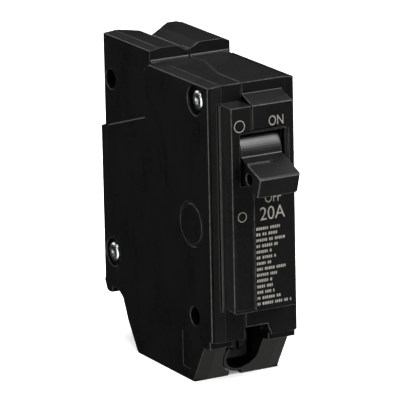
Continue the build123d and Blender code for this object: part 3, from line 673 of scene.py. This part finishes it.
def rating_bars():
    """Rows of plain blocks in place of the small print on the right half of the panel."""
    draw = random.Random(11)
    bm = bmesh.new()
    rows = 14
    left, top, step, height = 10.1, 43.6, 1.53, 0.78
    letter_gap, word_gap = 0.18, 0.45
    for row in range(rows):
        z1 = top - row * step
        x = left
        end = x + draw.uniform(4.2, 10.2)
        while x < end:
            for _ in range(draw.randint(2, 6)):
                wide = draw.choice((0.34, 0.44, 0.50))
                if x < end:
                    add_bar(bm, x, x + wide, z1 - height, z1)
                x += wide + letter_gap
            x += word_gap
    bmesh.ops.recalc_face_normals(bm, faces=bm.faces)
    mesh = mesh_from(bm, "rating_bars", 30)
    add_piece("rating_bars", mesh, INK, "case")


def print_ring(name, x, z, outer, inner):
    """A plain printed ring, where the photographed part carries somebody's mark."""
    bm = bmesh.new()
    steps = 48
    loops = []
    face = PANEL - INK_LIFT
    for radius, y in ((outer, PANEL), (outer, face), (inner, face), (inner, PANEL)):
        ring = []
        for i in range(steps):
            turn = 2 * math.pi * i / steps
            ring.append(bm.verts.new(at(x + radius * math.cos(turn), y, z + radius * math.sin(turn))))
        loops.append(ring)
    for one, two in zip(loops, loops[1:] + loops[:1]):
        for i in range(steps):
            j = (i + 1) % steps
            bm.faces.new((one[i], one[j], two[j], two[i]))
    bmesh.ops.recalc_face_normals(bm, faces=bm.faces)
    add_piece(name, mesh_from(bm, name, 30), INK, "case")


def print_panel():
    lettering("mark_on", "ON", (14.3, 18.55), (69.85, 72.4))
    lettering("mark_off", "OFF", (12.8, 17.5), (49.8, 52.25))
    lettering("mark_rating", "20A", (11.3, 18.6), (45.3, 48.75))
    rating_bars()
    print_ring("mark_ring", RING_X, RING_Z, outer=1.6, inner=1.36)
    print_ring("small_ring", SMALL_RING_X, SMALL_RING_Z, outer=1.3, inner=1.12)


# ---------------------------------------------------------------- studio
AZIMUTH = 28.84         # the camera stands to the left of the front
ELEVATION = 15.23
ROLL = -1.21
DISTANCE = 1.1822
LENS = 412.5
AIM = at(12.6, 15.0, 52.8)
AIM_OFFSET = (0.006418, 0.006586)       # metres from the camera's axis to the aim, right and up


def camera_axes():
    az, el, roll = (math.radians(v) for v in (AZIMUTH, ELEVATION, ROLL))
    look = Vector((math.sin(az) * math.cos(el), math.cos(az) * math.cos(el), -math.sin(el)))
    right = Vector((math.cos(az), -math.sin(az), 0))
    up = right.cross(look)
    turned_right = right * math.cos(roll) + up * math.sin(roll)
    turned_up = up * math.cos(roll) - right * math.sin(roll)
    return turned_right, turned_up, look


def add_camera():
    right, up, look = camera_axes()
    data = bpy.data.cameras.new("camera")
    data.lens = LENS
    data.sensor_width = 36.0
    data.clip_end = 20
    camera = bpy.data.objects.new("camera", data)
    place = AIM - look * DISTANCE - right * AIM_OFFSET[0] - up * AIM_OFFSET[1]
    turn = Matrix((right, up, -look)).transposed().to_4x4()
    camera.matrix_world = Matrix.Translation(place) @ turn
    bpy.context.scene.collection.objects.link(camera)
    bpy.context.scene.camera = camera


LIGHT_AIM = Vector((0, 0, 0.045))       # the middle of the part


def add_light(name, place, size, power, colour=(1, 1, 1)):
    data = bpy.data.lights.new(name, "AREA")
    data.shape = "RECTANGLE"
    data.size, data.size_y = size
    data.energy = power
    data.color = colour
    light = bpy.data.objects.new(name, data)
    light.location = place
    aim = LIGHT_AIM - Vector(place)
    light.rotation_euler = aim.to_track_quat("-Z", "Y").to_euler()
    bpy.context.scene.collection.objects.link(light)


FLOOR_GLOW = 0.22       # fills the floor's shadow a little


def add_floor():
    """A pale floor with a faint glow of its own, which the part doesn't mirror."""
    s = Shader("studio_floor", (0.93, 0.93, 0.925), 0.9, specular=0.1)
    s.bump(s.noise((0.01, 0.01, 0.01), detail=2), 0.05, 0.2)
    s.bsdf.inputs["Emission Color"].default_value = (1, 1, 1, 1)
    s.bsdf.inputs["Emission Strength"].default_value = FLOOR_GLOW
    bm = bmesh.new()
    bmesh.ops.create_grid(bm, x_segments=8, y_segments=8, size=6.0)
    mesh = bpy.data.meshes.new("studio_floor")
    bm.to_mesh(mesh)
    bm.free()
    mesh.materials.append(s.material)
    floor = bpy.data.objects.new("studio_floor", mesh)
    bpy.context.scene.collection.objects.link(floor)
    floor.visible_glossy = False


SURROUND = 0.028        # strength of the surround away from its bright patches
PATCHES = (             # direction, the cosines where it fades in and is full, and its strength
    ((-0.95, 0.17, -0.26), 0.88, 0.97, 6.0),
    ((-0.16, -0.94, -0.26), 0.92, 0.98, 4.5),
    ((-0.45, 0.85, 0.27), 0.94, 0.985, 4.0),
    ((0.42, -0.12, -0.90), 0.88, 0.97, 0.80),
    ((0.466, -0.845, -0.263), 0.86, 0.99, 0.30),
)


def add_world():
    """A dim surround with bright patches where the rounds and flat faces mirror it to the camera."""
    world = bpy.data.worlds.new("studio")
    bpy.context.scene.world = world
    world.use_nodes = True
    nodes = world.node_tree.nodes
    links = world.node_tree.links
    place = nodes.new("ShaderNodeTexCoord").outputs["Generated"]
    total = None
    for direction, low, high, strength in PATCHES:
        dot = nodes.new("ShaderNodeVectorMath")
        dot.operation = "DOT_PRODUCT"
        dot.inputs[1].default_value = direction
        links.new(place, dot.inputs[0])
        fade = nodes.new("ShaderNodeMapRange")
        fade.inputs["From Min"].default_value = low
        fade.inputs["From Max"].default_value = high
        fade.inputs["To Max"].default_value = strength
        links.new(dot.outputs["Value"], fade.inputs["Value"])
        add = nodes.new("ShaderNodeMath")
        add.operation = "ADD"
        add.inputs[1].default_value = SURROUND
        links.new(fade.outputs["Result"], add.inputs[0])
        if total is not None:
            links.new(total, add.inputs[1])
        total = add.outputs["Value"]
    ground = nodes["Background"]
    ground.inputs["Color"].default_value = (1.0, 0.995, 0.95, 1)
    links.new(total, ground.inputs["Strength"])


def build_studio():
    add_camera()
    add_floor()
    add_world()
    add_light("key_front_right", (0.75, -1.0, 0.95), (0.8, 0.7), 36)
    add_light("top_rear", (0.5, 0.9, 0.9), (1.0, 0.5), 1.6)
    add_light("overhead", (-0.1, -0.1, 1.6), (1.6, 1.6), 55)
    add_light("left_card", (-1.0, 0.2, 0.6), (0.35, 0.35), 3)
    view = bpy.context.scene.view_settings
    view.view_transform = "Standard"
    view.exposure = 0.0


paint_cad_nodes()
soften_case()
build_rivets()
print_panel()
build_studio()
